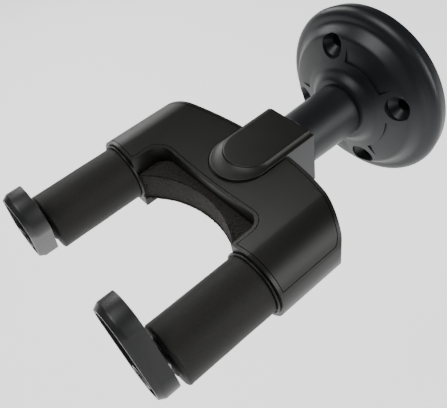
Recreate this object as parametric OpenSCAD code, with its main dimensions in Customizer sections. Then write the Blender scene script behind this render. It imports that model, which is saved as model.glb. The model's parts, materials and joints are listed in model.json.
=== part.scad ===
// Wall guitar hanger with a swivelling, self-locking yoke.
// The origin is the centre of the base plate's back face, on the wall. The hanger stands out from the
// wall along -Y, +Z is up and +X is to the right of someone who faces the wall. Depths are from the wall.
// The yoke slides down on its block under an instrument, and the slotted bar then turns both stops inward.

/* [Base plate] */
// Outer radius of the base plate
plate_r = 40; // [37:0.5:48]
// Depth at which the rolled rim is widest
rim_depth = 4; // [3:0.1:5]
// Radius of the rolled rim
rim_roll_r = 4.2; // [3:0.1:5]
// Depth of the plate's face where it turns down to the rim
face_outer_depth = 13.6; // [12:0.1:15]
// Depth of the plate's face at the foot of the hub
face_inner_depth = 16.6; // [15.5:0.1:18]
// Depth of the hub's nose
hub_depth = 20.5; // [19:0.1:24]
// Radius of the circle that the wall screws lie on
screw_circle_r = 27.3; // [26:0.1:28.5]
// Radius of a wall screw's hole
screw_hole_r = 2.75; // [2:0.05:3]
// Radius of a wall screw's countersink
countersink_r = 5.5; // [4:0.1:6]
// Turn of the screw circle from the horizontal
screw_turn = 20.7; // [0:0.1:45]
// Number of wall screws
screw_count = 4; // [3:1:4]
// Radius of the step between the hub's field and the sunk sectors
sector_r = 21.4; // [20:0.1:23]
// Angle that each sunk sector spans
sector_span = 55; // [30:1:60]
// Height of the step that bounds a sunk sector at the hub's field
sector_step = 0.8; // [0.4:0.1:1.2]

/* [Neck] */
// Radius of the neck at the base plate
neck_base_r = 11.9; // [11:0.1:12.5]
// Radius of the neck at the block
neck_tip_r = 11.35; // [10.8:0.05:12]
// Inner radius of the neck tube
neck_bore_r = 9.4; // [8.8:0.1:9.8]
// Depth of the neck's free end
neck_end_depth = 48; // [42:0.5:60]
// Radius of the neck's flange behind the plate
neck_flange_r = 14.5; // [13.5:0.1:15]
// Radius of the pivot bolt's shank
pivot_r = 4; // [3:0.1:4.5]
// Most that the block swivels to each side
swivel_limit = 45; // [20:1:50]

/* [Block] */
// Half the width of the block
block_half_w = 12.7; // [12:0.1:13.5]
// Half the height of the block behind the yoke
block_half_h = 12.2; // [11.5:0.1:12.2]
// Gap between the neck's end and the block, which the friction washer fills
neck_gap = 1; // [0.6:0.1:2]
// Thickness of the block's rear wall
block_wall = 8; // [6:0.1:10]
// Height of the cap's flat top above the block
cap_h = 1.9; // [1.2:0.1:3]
// How far the cap's flat top lies inside its foot at each side
cap_flare = 2.1; // [0.5:0.1:3]
// How far the cap's foot stands out ahead of its flat top
cap_lead = 4.4; // [2:0.1:5]

/* [Yoke] */
// Half the distance between the arms' axes
arm_x = 39.8; // [38:0.1:44]
// Height of the arms' axes above the neck's axis
arm_rise = 1.6; // [1:0.1:2.4]
// Outer radius of the housing round each arm
lobe_r = 14.26; // [13.8:0.02:15.5]
// Height of the housing's top above the arms' axes, midway between the arms
saddle_h = 10; // [9.4:0.1:10.4]
// Wall thickness of the housing
wall = 2.3; // [1.8:0.1:2.3]
// Radius of the housing's swept rear edge, seen from above
rear_sweep_r = 100; // [90:1:120]
// Radius of the housing's rear corners, seen from above
shoulder_r = 7; // [5:0.5:9]
// Length of the block that shows behind the housing
block_exposed = 13.8; // [12:0.1:20]
// Length of the housing, from the cross bar's rear face to its front
yoke_l = 28.9; // [28.2:0.1:30.2]
// Thickness of the cover panel
panel_t = 1.2; // [0.8:0.1:1.3]
// Distance of the cover panel's edge from the housing's edge
panel_inset = 1.6; // [1.2:0.1:2.4]
// Groove round the cover panel
panel_gap = 0.25; // [0.15:0.05:0.4]
// Angle round the arm, from the horizontal, at which the cover panel ends
panel_end_angle = 26.5; // [15:0.5:40]

/* [Throat and pad] */
// Distance from an arm's axis to the side of the throat between the arms
throat_side = 9.9; // [9.8:0.1:11]
// Radius of the throat's rear corners
throat_corner_r = 6.5; // [4:0.5:9]
// Distance of the throat's rear edge from the cross bar's rear face
throat_setback = 14.4; // [13.4:0.1:17.2]
// How far the pad's pocket reaches behind the throat's rear edge
pocket_reach = 5; // [3:0.1:5.2]
// Radius of the pad's hollow front
pad_arc_r = 42.5; // [38:0.5:60]
// Thickness of the pad in front of the throat's rear edge, at the middle
pad_lip = 2.4; // [1:0.1:6]
// Height of the pad
pad_h = 14; // [10:0.5:14]
// Height of the pad's top above the arms' axes
pad_top = 4.5; // [2:0.1:4.5]

/* [Arms] */
// Outer radius of an arm tube
tube_r = 7.5; // [7:0.1:7.5]
// Inner radius of an arm tube
tube_bore_r = 6; // [5:0.1:6.2]
// Outer radius of a foam sleeve
sleeve_r = 11.9; // [10:0.1:12]
// Length of a foam sleeve
sleeve_l = 37.8; // [25:0.1:60]
// Radius of a lock rod
rod_r = 4; // [3:0.1:4.2]
// Radial clearance of a turning shaft in its bushing
running_fit = 0.05; // [0.02:0.01:0.1]

/* [Stops] */
// Radius of a stop's rounded ends
stop_r = 10; // [8:0.1:12]
// Distance between the centres of a stop's rounded ends
stop_reach = 19.2; // [12:0.1:24]
// Thickness of a stop
stop_t = 7.7; // [6:0.1:10]
// Width of the chamfer round a stop's front
stop_chamfer = 1.25; // [0.5:0.05:2]
// Depth of the chamfer round a stop's front
stop_chamfer_depth = 2.2; // [1:0.1:3]
// Gap between a foam sleeve and its stop
stop_gap = 2.2; // [1.6:0.1:3]
// Angle of an open stop above the horizontal
stop_angle = 64.5; // [45:0.5:75]

/* [Lock] */
// How far the yoke drops under an instrument
drop = 6; // [5:0.1:6]
// Thickness of the slotted cross bar
bar_t = 3; // [2:0.1:3.2]
// Half the height of the cross bar
bar_half_h = 3.2; // [2.8:0.1:3.2]
// Radius of a crank pin
crank_pin_r = 1.5; // [1.2:0.05:1.6]
// Clearance round a crank pin in its slot
slot_clearance = 0.3; // [0.2:0.05:0.5]
// Mean radius of a return spring
spring_r = 2.75; // [2.5:0.05:2.8]
// Radius of a return spring's wire
spring_wire_r = 0.45; // [0.3:0.05:0.5]
// Number of turns of a return spring
spring_turns = 7; // [5:1:8]

/* [Hidden] */
$fn = 96;

LEFT = -1;
RIGHT = 1;
EPS = 0.01;       // overlap that keeps joined shapes from only touching
BIG = 200;        // larger than the hanger, for cutting

// Base plate and neck
rim_w = 10;
face_outer_r = plate_r - rim_w;
hub_field_w = 2.9;
hub_foot_r = sector_r - hub_field_w;
face_slope = (face_inner_depth - face_outer_depth) / (face_outer_r - hub_foot_r);
sector_fade_w = 2.5;
sector_fade_r = face_outer_r - sector_fade_w;     // where a sunk sector's floor comes up to the plate's face
sector_overrun = 1.3;
hub_lip_w = 1.7;
hub_nose_r = neck_base_r + hub_lip_w;
rim_foot = 1;
retainer_r = 19.6;
retainer_t = 2;
retainer_depth = 0.4;
retainer_fit = 0.2;
flange_t = 2.5;
flange_depth = retainer_depth + retainer_t;
flange_screw_circle_r = 17.2;
flange_screw_r = 1.25;
flange_screw_head_r = 2.3;
flange_screw_head_h = 1.2;
flange_screw_l = 9;
flange_screw_count = 3;
head_rim = 0.1;        // straight edge of a countersunk head
hole_rim = 5;
boss_ring_r = 22;
back_rim_w = 6;
back_recess_r = plate_r - back_rim_w;
back_recess_depth = 6;
screw_boss_r = 7;
countersink_depth = 13.4;
countersink_h = 3.2;
neck_chamfer = 0.8;
taper_lead = 0.5;
plug_l = 14;
shank_in_plug = 12;
shank_depth = neck_end_depth - shank_in_plug;
limit_pin_r = 1.2;
limit_circle_r = 7.2;
limit_pin_l = 11.5;
limit_slot_clearance = 0.3;
limit_slot_depth = 3.2;
limit_pin_lead = 2.5;   // how far the limit pin reaches into the block
washer_fit = 0.1;
washer_bore_fit = 0.2;
washer_bore_r = pivot_r + washer_bore_fit;
friction_washer_r = 10.2;
wave_washer_r = 7.2;
wave_washer_t = 1.8;
bolt_head_r = 6.8;
bolt_head_h = 4;
hex_r = 2.9;
hex_depth = 2.5;

// Block and cap
shell_floor = arm_rise - lobe_r;
block_rear_depth = neck_end_depth + neck_gap;
yoke_rear_depth = block_rear_depth + block_exposed;
block_step_gap = 0.3;
block_step_depth = yoke_rear_depth - block_step_gap;
sweep_centre_depth = yoke_rear_depth + rear_sweep_r;
crank_r = drop / 2 / sin(stop_angle / 2);
pin_near_x = arm_x + crank_r * cos(stop_angle / 2);
pin_far_x = arm_x + crank_r;
bar_end_t = 1.6;
bar_end_x = pin_far_x + crank_pin_r + slot_clearance + bar_end_t;
bar_gap = 0.427;       // room between the bar's ends and the swept rear wall
bar_depth = sweep_centre_depth - sqrt(pow(rear_sweep_r - wall, 2) - bar_end_x * bar_end_x) + bar_gap;
block_bore_depth = block_rear_depth + block_wall;
bolt_cavity_r = 7.6;
column_rise = 1.96;
column_bottom = shell_floor + wall + column_rise;
cap_foot_t = 0.4;
cap_centre_setback = 8.6;
cap_centre_depth = yoke_rear_depth + cap_centre_setback;
cap_top_half_w = block_half_w - cap_flare;
cap_peg_r = 2;
cap_peg_h = 3.5;
rear_peg_lead = 4;
front_peg_lead = 1;
cap_peg_depths = [block_rear_depth + rear_peg_lead, cap_centre_depth - front_peg_lead];

// Housing
yoke_front_depth = bar_depth + yoke_l;
throat_depth = bar_depth + throat_setback;
throat_half_w = arm_x - throat_side;
parting_drop = 8.6;
parting_z = arm_rise - parting_drop;
saddle_r = (arm_x * arm_x + saddle_h * saddle_h - lobe_r * lobe_r) / (2 * (lobe_r - saddle_h));
side_x = arm_x + lobe_r;
side_margin = 0.15;    // how far the outline stands clear of the lobes, which end first
saddle_bite = 0.05;    // how far the bridge's hollow cuts into the lobes where it meets them
shoulder_x = side_x + side_margin - shoulder_r;
shoulder_depth = sweep_centre_depth - sqrt(pow(rear_sweep_r - shoulder_r, 2) - shoulder_x * shoulder_x);
sweep_edge_x = shoulder_x * rear_sweep_r / (rear_sweep_r - shoulder_r);
block_gap = 0.4;
pad_top_z = arm_rise + pad_top;
pad_bottom_z = pad_top_z - pad_h;
pad_fit = 0.3;
pad_arc_depth = throat_depth + pad_lip + pad_arc_r;
panel_low_z = arm_rise + lobe_r * sin(panel_end_angle);
cap_clearance = 0.6;
bulkhead_depth = throat_depth - pocket_reach;
bulkhead_t = 3;
rib_bite = 0.5;        // how far the ribs reach into the wall
post_r = 3;
post_screw_r = 1.1;
post_screw_head_r = 2.3;
post_screw_head_h = 1.3;
post_screw_sink = 0.3;
post_screw_tip_z = 2;

// Springs and foot
spring_side_gap = 5.5;
spring_x = block_half_w + spring_side_gap;
spring_depth = cap_centre_depth;
spring_outer_r = spring_r + spring_wire_r;
foot_t = 1.5;
foot_rim = 1;
foot_end_x = spring_x + spring_outer_r + foot_rim;
post_foot_gap = 2.1;
post_bar_gap = 5.4;
front_post_inset = 5.9;
front_post_gap = 3.2;
post_places = [
    [foot_end_x + post_r + post_foot_gap, bar_depth - post_bar_gap],
    [throat_half_w - front_post_inset, bar_depth + bar_t + front_post_gap]
];
spring_roof_gap = 0.3;
spring_seat_z = arm_rise + saddle_h - wall - spring_roof_gap;
spring_seat_fit = 0.4;
spring_seat_r = spring_outer_r + spring_seat_fit;
spring_gap = 0.1;
spring_steps = 14;
spring_sides = 6;
guide_pin_r = 1.6;
guide_pin_gap = 7.5;
guide_pin_top = spring_seat_z - guide_pin_gap;
small_screw_r = 1.1;
small_head_r = 2;
small_head_h = 1.2;
foot_head_h = 0.9;
foot_screw_inset = 2.7;
foot_screw_x = block_half_w - foot_screw_inset;
foot_screw_l = 5;

// Arms
tube_depth = bulkhead_depth;
ring_t = 0.4;
sleeve_depth = yoke_front_depth + ring_t;
sleeve_end_depth = sleeve_depth + sleeve_l;
ring_fit = 0.2;
ring_bore_r = sleeve_r + ring_fit;
ring_w = 0.8;
ring_r = ring_bore_r + ring_w;
ring_h = 1;
bushing_l = 6;
bushing_flange_r = 7.3;
bushing_flange_t = 0.8;

// Lock
stop_depth = sleeve_end_depth + stop_gap;
stop_bore_l = 4.1;
stop_web = 1;
stop_rim = 1.2;
stop_hub_r = 4.6;
stop_rib_half_w = 0.6;
cross_rib_share = 0.55;
stop_cross_rib_x = stop_reach * cross_rib_share;
stop_rib_sink = 1;
rod_bar_gap = 1;
rod_depth = bar_depth + bar_t + rod_bar_gap;
rod_tip_depth = stop_depth + stop_bore_l;
rod_screw_r = 2;
rod_screw_l = 10;
stop_head_r = 3.4;
stop_head_h = 2;
stop_head_fit = 0.1;
cross_slot_w = 0.9;
cross_slot_l = 4.4;
cross_slot_depth = 1;
groove_cut = 0.9;
groove_r = rod_r - groove_cut;
groove_t = 0.8;
groove_gap = 0.2;
groove_depth = tube_depth - bushing_flange_t - groove_gap - groove_t;
clip_r = 6;
clip_fit = 0.05;
clip_mouth = 4;
crank_t = 3;
crank_lead = 0.2;
crank_depth = rod_depth + crank_lead;
crank_hub_r = 6;
rod_pin_gap = 0.1;
rod_end_r = min(rod_r, crank_r - crank_pin_r - rod_pin_gap);   // turned down where the crank pin runs close
crank_eye_r = 2.8;
bar_z = arm_rise - drop / 2;
bar_plate_inset = 0.7;
bar_plate_half_w = block_half_w - bar_plate_inset;
bar_plate_gap = 0.2;
bar_plate_bottom = column_bottom + bar_plate_gap;
bar_screw_inset = 3.7;
bar_screw_x = block_half_w - bar_screw_inset;
bar_screw_rise = 2;
bar_screw_z = column_bottom + bar_screw_rise;
bar_screw_l = 4;
crank_pin_lead = 0.3;
crank_pin_depth = bar_depth - crank_pin_lead;

BLACK_METAL = [0.05, 0.05, 0.06];
BLACK_PLASTIC = [0.09, 0.09, 0.08];
FOAM = [0.12, 0.12, 0.11];
PAD = [0.17, 0.15, 0.13];
STEEL = [0.62, 0.63, 0.65];
BRASS = [0.72, 0.6, 0.32];
NYLON = [0.85, 0.84, 0.8];

// Stands a shape that is drawn upwards out from the wall, from the given depth.
module out(depth) {
    translate([0, -depth, 0])
        rotate([90, 0, 0])
            children();
}

// A round bar along the depth axis.
module rod(depth, length, r) {
    out(depth)
        cylinder(h = length, r = r);
}

// A countersunk screw that points upwards, its cone starting at the origin. A longer rim makes its hole.
module countersunk(r, head_r, head_h, length, rim) {
    rotate_extrude()
        polygon([[0, -rim], [head_r, -rim], [head_r, 0], [r, head_h], [r, length], [0, length]]);
}

// A ring along the depth axis.
module ring(depth, length, r, bore) {
    difference() {
        rod(depth, length, r);
        rod(depth - EPS, length + 2 * EPS, bore);
    }
}

// Moves a shape to the axis of the left or the right arm.
module at_arm(side) {
    translate([side * arm_x, 0, arm_rise])
        children();
}

// Mirrors a shape drawn for the right side.
module on_side(side) {
    mirror([side == LEFT ? 1 : 0, 0, 0])
        children();
}

// Points of an S-shaped blend that is level at both ends.
function blend(a, b, n) = [
    for (i = [0:n]) [a.x + (b.x - a.x) * i / n, a.y + (b.y - a.y) * (1 - cos(180 * i / n)) / 2]
];

// Points on an arc.
function arc(centre, r, from, to, n) = [
    for (i = [0:n]) centre + r * [cos(from + (to - from) * i / n), sin(from + (to - from) * i / n)]
];

// ---- Base ----

module plate_body() {
    roll_centre = [plate_r - rim_roll_r, rim_depth];
    outline = concat(
        [[0, 0], [plate_r - rim_foot, 0]],
        arc(roll_centre, rim_roll_r, 0, 90, 6),
        blend(roll_centre + [0, rim_roll_r], [face_outer_r, face_outer_depth], 10),
        blend([hub_foot_r, face_inner_depth], [hub_nose_r, hub_depth], 6),
        [[0, hub_depth]]
    );
    out(0)
        rotate_extrude()
            polygon(outline);
}

module at_wall_screws() {
    for (i = [0:screw_count - 1])
        rotate([0, -(screw_turn + i * 360 / screw_count), 0])
            translate([screw_circle_r, 0, 0])
                children();
}

function on_face(r) = [r, face_outer_depth + face_slope * (face_outer_r - r)];

module sunk_sectors() {
    step_foot = on_face(sector_r) - [0, sector_step];
    floor_end = step_foot + sector_overrun * (on_face(sector_fade_r) - step_foot);
    for (i = [0:screw_count - 1])
        rotate([0, -(screw_turn + (i + 0.5) * 360 / screw_count - sector_span / 2), 0])
            out(0)
                rotate_extrude(angle = sector_span)
                    polygon([step_foot, floor_end, [floor_end.x, hub_depth], [sector_r, hub_depth]]);
}

module back_recess() {
    difference() {
        rod(-EPS, back_recess_depth + EPS, back_recess_r);
        rod(-1, back_recess_depth + 2, boss_ring_r);
        at_wall_screws()
            rod(-1, back_recess_depth + 2, screw_boss_r);
    }
}

module base_plate() {
    color(BLACK_METAL)
        difference() {
            plate_body();
            sunk_sectors();
            back_recess();
            rod(-EPS, hub_depth + 1, neck_base_r);
            rod(-EPS, flange_depth + flange_t + EPS, neck_flange_r);
            rod(-EPS, flange_depth + EPS, retainer_r + retainer_fit);
            at_wall_screws() {
                rod(-1, BIG, screw_hole_r);
                out(countersink_depth - countersink_h)
                    cylinder(h = countersink_h, r1 = screw_hole_r, r2 = countersink_r);
                rod(countersink_depth - EPS, BIG, countersink_r);
            }
            at_flange_screws()
                rod(0, retainer_depth + head_rim + flange_screw_l, flange_screw_r);
        }
}

module neck_tube() {
    taper_depth = hub_depth + taper_lead;
    outline = [
        [neck_bore_r, flange_depth], [neck_flange_r, flange_depth],
        [neck_flange_r, flange_depth + flange_t - EPS], [neck_base_r, flange_depth + flange_t - EPS],
        [neck_base_r, taper_depth], [neck_tip_r, neck_end_depth - neck_chamfer],
        [neck_tip_r - neck_chamfer, neck_end_depth], [neck_bore_r, neck_end_depth]
    ];
    color(BLACK_METAL)
        out(0)
            rotate_extrude()
                polygon(outline);
}

module at_flange_screws() {
    for (i = [0:flange_screw_count - 1])
        rotate([0, i * 360 / flange_screw_count, 0])
            translate([0, 0, flange_screw_circle_r])
                children();
}

module flange_screw(rim) {
    out(retainer_depth + head_rim)
        countersunk(flange_screw_r, flange_screw_head_r, flange_screw_head_h, flange_screw_l, rim);
}

module retaining_plate() {
    color(STEEL)
        difference() {
            rod(retainer_depth, retainer_t, retainer_r);
            at_flange_screws()
                flange_screw(hole_rim);
        }
}

module flange_screws() {
    color(STEEL)
        at_flange_screws()
            flange_screw(head_rim);
}

module neck_plug() {
    color(BRASS)
        difference() {
            ring(neck_end_depth - plug_l, plug_l, neck_bore_r, pivot_r);
            translate([0, 0, limit_circle_r])
                rod(block_rear_depth + limit_pin_lead - limit_pin_l, limit_pin_l, limit_pin_r);
        }
}

module pivot_bolt() {
    head_depth = block_bore_depth + washer_fit + wave_washer_t;
    color(STEEL)
        difference() {
            union() {
                rod(shank_depth, head_depth + EPS - shank_depth, pivot_r);
                rod(head_depth, bolt_head_h, bolt_head_r);
            }
            out(head_depth + bolt_head_h - hex_depth)
                cylinder(h = hex_depth + 1, r = hex_r, $fn = 6);
        }
}

module wave_washer() {
    color(STEEL)
        ring(block_bore_depth + washer_fit, wave_washer_t, wave_washer_r, washer_bore_r);
}

module friction_washer() {
    color(BLACK_PLASTIC)
        difference() {
            ring(neck_end_depth, neck_gap - washer_fit, friction_washer_r, washer_bore_r);
            translate([0, 0, limit_circle_r])
                rod(neck_end_depth - 1, neck_gap + 2, limit_pin_r);
        }
}

module limit_pin() {
    color(STEEL)
        translate([0, 0, limit_circle_r])
            rod(block_rear_depth + limit_pin_lead - limit_pin_l, limit_pin_l, limit_pin_r);
}

// ---- Block ----

// Curved slot that lets the limit pin travel to both sides.
module limit_slot() {
    slot_r = limit_pin_r + limit_slot_clearance;
    end_angle = swivel_limit + asin(slot_r / limit_circle_r);
    rotate([0, end_angle - 90, 0])
        out(block_rear_depth - 1)
            rotate_extrude(angle = 2 * end_angle)
                translate([limit_circle_r - slot_r, 0])
                    square([2 * slot_r, limit_slot_depth + 1]);
}

module swivel_block() {
    rear_l = block_step_depth - block_rear_depth;
    column_l = bar_depth - block_step_depth;
    color(BLACK_METAL)
        difference() {
            union() {
                translate([-block_half_w, -block_step_depth, -block_half_h])
                    cube([2 * block_half_w, rear_l, 2 * block_half_h]);
                translate([-block_half_w, -bar_depth, column_bottom])
                    cube([2 * block_half_w, column_l + EPS, block_half_h - column_bottom]);
            }
            rod(block_rear_depth - 1, BIG, pivot_r + running_fit);
            rod(block_bore_depth, BIG, bolt_cavity_r);
            limit_slot();
            at_cap_pegs()
                cylinder(h = cap_peg_h + 1, r = cap_peg_r);
            at_foot_screws()
                cylinder(h = foot_screw_l + foot_t + head_rim, r = small_screw_r);
            at_bar_screws()
                rod(0, bar_screw_l, small_screw_r);
        }
}

module at_cap_pegs() {
    for (depth = cap_peg_depths)
        translate([0, -depth, block_half_h - cap_peg_h])
            children();
}

// Outline of the cap, seen from above: square at the rear and round at the front.
module cap_outline(half_w, centre_depth) {
    translate([0, -centre_depth])
        circle(r = half_w, $fn = 32);
    translate([-half_w, -centre_depth])
        square([2 * half_w, centre_depth - block_rear_depth]);
}

module block_cap() {
    color(BLACK_PLASTIC)
        union() {
            hull() {
                translate([0, 0, block_half_h])
                    linear_extrude(cap_foot_t)
                        cap_outline(block_half_w, cap_centre_depth + cap_lead);
                translate([0, 0, block_half_h])
                    linear_extrude(cap_h)
                        cap_outline(cap_top_half_w, cap_centre_depth);
            }
            at_cap_pegs()
                cylinder(h = cap_peg_h + EPS, r = cap_peg_r);
        }
}

module at_foot_screws() {
    for (side = [LEFT, RIGHT])
        translate([side * foot_screw_x, -spring_depth, column_bottom - foot_t])
            children();
}

module spring_foot() {
    color(STEEL)
        difference() {
            translate([-foot_end_x, -(spring_depth + spring_outer_r), column_bottom - foot_t])
                cube([2 * foot_end_x, 2 * spring_outer_r, foot_t]);
            at_foot_screws()
                foot_screw(hole_rim);
        }
}

module foot_screw(rim) {
    translate([0, 0, head_rim])
        countersunk(small_screw_r, small_head_r, foot_head_h, foot_screw_l + foot_t, rim);
}

module foot_screws() {
    color(STEEL)
        at_foot_screws()
            foot_screw(head_rim);
}

module guide_pins() {
    color(STEEL)
        for (side = [LEFT, RIGHT])
            translate([side * spring_x, -spring_depth, column_bottom])
                cylinder(h = guide_pin_top - column_bottom, r = guide_pin_r);
}

module at_bar_screws() {
    for (side = [LEFT, RIGHT])
        translate([side * bar_screw_x, -(bar_depth - bar_screw_l), bar_screw_z])
            children();
}

module cross_bar() {
    slot_r = crank_pin_r + slot_clearance;
    color(STEEL)
        difference() {
            union() {
                translate([-bar_end_x, -(bar_depth + bar_t), bar_z - bar_half_h])
                    cube([2 * bar_end_x, bar_t, 2 * bar_half_h]);
                translate([-bar_plate_half_w, -(bar_depth + bar_t), bar_plate_bottom])
                    cube([2 * bar_plate_half_w, bar_t, bar_z + bar_half_h - bar_plate_bottom]);
            }
            for (side = [LEFT, RIGHT])
                on_side(side) {
                    for (x = [pin_near_x, pin_far_x])
                        translate([x, 0, bar_z])
                            rod(bar_depth - 1, bar_t + 2, slot_r);
                    translate([pin_near_x, -(bar_depth + bar_t + 1), bar_z - slot_r])
                        cube([pin_far_x - pin_near_x, bar_t + 2, 2 * slot_r]);
                }
            at_bar_screws()
                rod(0, BIG, small_screw_r);
        }
}

module bar_screws() {
    color(STEEL)
        at_bar_screws() {
            rod(0, bar_screw_l + bar_t + EPS, small_screw_r);
            rod(bar_screw_l + bar_t, small_head_h, small_head_r);
        }
}

// One ring of points round the spring's wire.
function wire_ring(turn, z) = [
    for (i = [0:spring_sides - 1])
        let (a = i * 360 / spring_sides, r = spring_r + spring_wire_r * cos(a))
            [r * cos(turn), r * sin(turn), z + spring_wire_r * sin(a)]
];

module return_spring(side) {
    low = column_bottom + spring_wire_r;
    high = spring_seat_z - spring_gap - spring_wire_r;
    n = spring_turns * spring_steps;
    points = [for (i = [0:n]) each wire_ring(i * 360 / spring_steps, low + (high - low) * i / n)];
    start_cap = [[for (k = [0:spring_sides - 1]) spring_sides - 1 - k]];
    end_cap = [[for (k = [0:spring_sides - 1]) n * spring_sides + k]];
    skin = [
        for (i = [0:n - 1], k = [0:spring_sides - 1])
            let (next = (k + 1) % spring_sides, at = i * spring_sides, after = (i + 1) * spring_sides)
                [at + k, at + next, after + next, after + k]
    ];
    color(STEEL)
        translate([side * spring_x, -spring_depth, 0])
            polyhedron(points = points, faces = concat(start_cap, skin, end_cap));
}

// ---- Yoke ----

// Cross-section of the housing, seen from the front: a round lobe at each arm and a sagging bridge.
module housing_section(inset) {
    meeting_z = arm_rise + (lobe_r - inset) * (saddle_h + saddle_r) / (lobe_r + saddle_r);
    difference() {
        union() {
            for (side = [LEFT, RIGHT])
                translate([side * arm_x, arm_rise])
                    circle(r = lobe_r - inset);
            translate([-arm_x, shell_floor + inset])
                square([2 * arm_x, meeting_z - shell_floor - inset]);
        }
        translate([0, arm_rise + saddle_h + saddle_r])
            circle(r = saddle_r + saddle_bite + inset, $fn = 360);
    }
}

// Outline of the housing, seen from above, without its throat.
module housing_plan(inset) {
    mirror([0, 1]) {
        intersection() {
            translate([0, sweep_centre_depth])
                circle(r = rear_sweep_r - inset, $fn = 360);
            translate([-sweep_edge_x, 0])
                square([2 * sweep_edge_x, yoke_front_depth - inset]);
        }
        for (side = [LEFT, RIGHT])
            translate([side * shoulder_x, shoulder_depth])
                circle(r = shoulder_r - inset);
        translate([-side_x - side_margin + inset, shoulder_depth])
            square([2 * (side_x + side_margin - inset), yoke_front_depth - inset - shoulder_depth]);
    }
}

// Outline of the throat, seen from above.
module throat_plan(grow, rear_depth) {
    half_w = throat_half_w + grow;
    r = throat_corner_r + grow;
    rear = rear_depth - grow;
    corner_x = throat_half_w - throat_corner_r;
    mirror([0, 1]) {
        translate([-corner_x, rear])
            square([2 * corner_x, BIG]);
        translate([-half_w, rear + r])
            square([2 * half_w, BIG]);
        for (side = [LEFT, RIGHT])
            translate([side * corner_x, rear + r])
                circle(r = r);
    }
}

module upright(low, high) {
    translate([0, 0, low])
        linear_extrude(high - low)
            children();
}

// The throat, open from top to bottom, with the pad's pocket reaching further back.
module throat(grow) {
    upright(-BIG, BIG)
        throat_plan(grow, throat_depth);
    upright(pad_bottom_z - pad_fit - grow, pad_top_z + pad_fit + grow)
        throat_plan(grow, throat_depth - pocket_reach);
}

// The housing as one solid, or a layer of it that lies the given distance inside its skin.
module housing(inset) {
    intersection() {
        out(0)
            linear_extrude(BIG)
                housing_section(inset);
        upright(-BIG, BIG)
            housing_plan(inset);
    }
}

module housing_shell() {
    difference() {
        housing(0);
        throat(0);
        difference() {
            housing(wall);
            throat(wall);
        }
    }
}

module above(z) {
    intersection() {
        children();
        translate([-BIG / 2, -BIG, z])
            cube([BIG, BIG, BIG]);
    }
}

module below(z) {
    difference() {
        children();
        translate([-BIG, -2 * BIG, z])
            cube([2 * BIG, 3 * BIG, BIG]);
    }
}

module at_posts() {
    for (side = [LEFT, RIGHT], place = post_places)
        translate([side * place.x, -place.y, 0])
            children();
}

// Walls across the lobes that hold the arm tubes, posts for the screws and seats for the springs.
module inner_ribs() {
    intersection() {
        housing(wall - rib_bite);
        union() {
            at_posts()
                translate([0, 0, shell_floor])
                    cylinder(h = 3 * lobe_r, r = post_r);
            for (side = [LEFT, RIGHT]) {
                on_side(side)
                    translate([throat_half_w + 1, -(bulkhead_depth + bulkhead_t), -BIG / 2])
                        cube([BIG, bulkhead_t, BIG]);
                translate([side * spring_x, -spring_depth, spring_seat_z])
                    cylinder(h = lobe_r, r = spring_seat_r);
            }
        }
    }
}

// The cover panel's blank, which is also the recess that it lies in when it is made larger by the groove.
module panel_blank(gap) {
    difference() {
        upright(panel_low_z - gap, BIG)
            difference() {
                housing_plan(panel_inset - gap);
                throat_plan(panel_inset - gap, throat_depth);
                cap_window(cap_clearance - gap);
            }
        out(0)
            linear_extrude(BIG)
                housing_section(panel_t);
    }
}

module cap_window(grow) {
    cap_outline(block_half_w + grow, cap_centre_depth + cap_lead);
    translate([-(block_half_w + grow), -block_rear_depth])
        square([2 * (block_half_w + grow), BIG]);
}

module block_channel() {
    translate([-(block_half_w + block_gap), -(bar_depth + block_gap), shell_floor + wall])
        cube([2 * (block_half_w + block_gap), bar_depth, BIG]);
}

// A screw that is sunk into the housing's underside.
module post_screw(rim) {
    translate([0, 0, shell_floor + post_screw_sink])
        countersunk(post_screw_r, post_screw_head_r, post_screw_head_h, post_screw_tip_z - shell_floor, rim);
}

module upper_shell() {
    color(BLACK_PLASTIC)
        difference() {
            above(parting_z)
                union() {
                    housing_shell();
                    inner_ribs();
                }
            throat(0);
            for (side = [LEFT, RIGHT])
                at_arm(side)
                    rod(bulkhead_depth - 1, BIG, tube_r);
            block_channel();
            panel_blank(panel_gap);
            at_posts()
                post_screw(hole_rim);
        }
}

module lower_shell() {
    color(BLACK_PLASTIC)
        difference() {
            below(parting_z)
                union() {
                    housing_shell();
                    intersection() {
                        housing(wall - rib_bite);
                        at_posts()
                            translate([0, 0, shell_floor])
                                cylinder(h = lobe_r, r = post_r);
                    }
                }
            throat(0);
            for (side = [LEFT, RIGHT])
                at_arm(side)
                    rod(bulkhead_depth - 1, BIG, tube_r);
            block_channel();
            at_posts()
                post_screw(hole_rim);
        }
}

module cover_panel() {
    color([0.1, 0.1, 0.09])
        intersection() {
            panel_blank(0);
            out(0)
                linear_extrude(BIG)
                    housing_section(0);
        }
}

module shell_screws() {
    color(STEEL)
        at_posts()
            post_screw(head_rim);
}

module neck_pad() {
    color(PAD)
        upright(pad_bottom_z, pad_top_z)
            difference() {
                intersection() {
                    throat_plan(-pad_fit, throat_depth - pocket_reach);
                    translate([-throat_half_w, -(yoke_front_depth - 0.2)])
                        square([2 * throat_half_w, yoke_front_depth]);
                }
                translate([0, -pad_arc_depth])
                    circle(r = pad_arc_r, $fn = 180);
            }
}

module arm_tube(side) {
    color(BLACK_METAL)
        at_arm(side)
            ring(tube_depth, sleeve_end_depth - tube_depth, tube_r, tube_bore_r);
}

module foam_sleeve(side) {
    color(FOAM)
        at_arm(side)
            ring(sleeve_depth, sleeve_l, sleeve_r, tube_r);
}

module collar_ring(side) {
    color(BLACK_PLASTIC)
        at_arm(side) {
            ring(yoke_front_depth, sleeve_depth - yoke_front_depth, ring_r, tube_r);
            ring(yoke_front_depth, ring_h, ring_r, ring_bore_r);
        }
}

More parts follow.
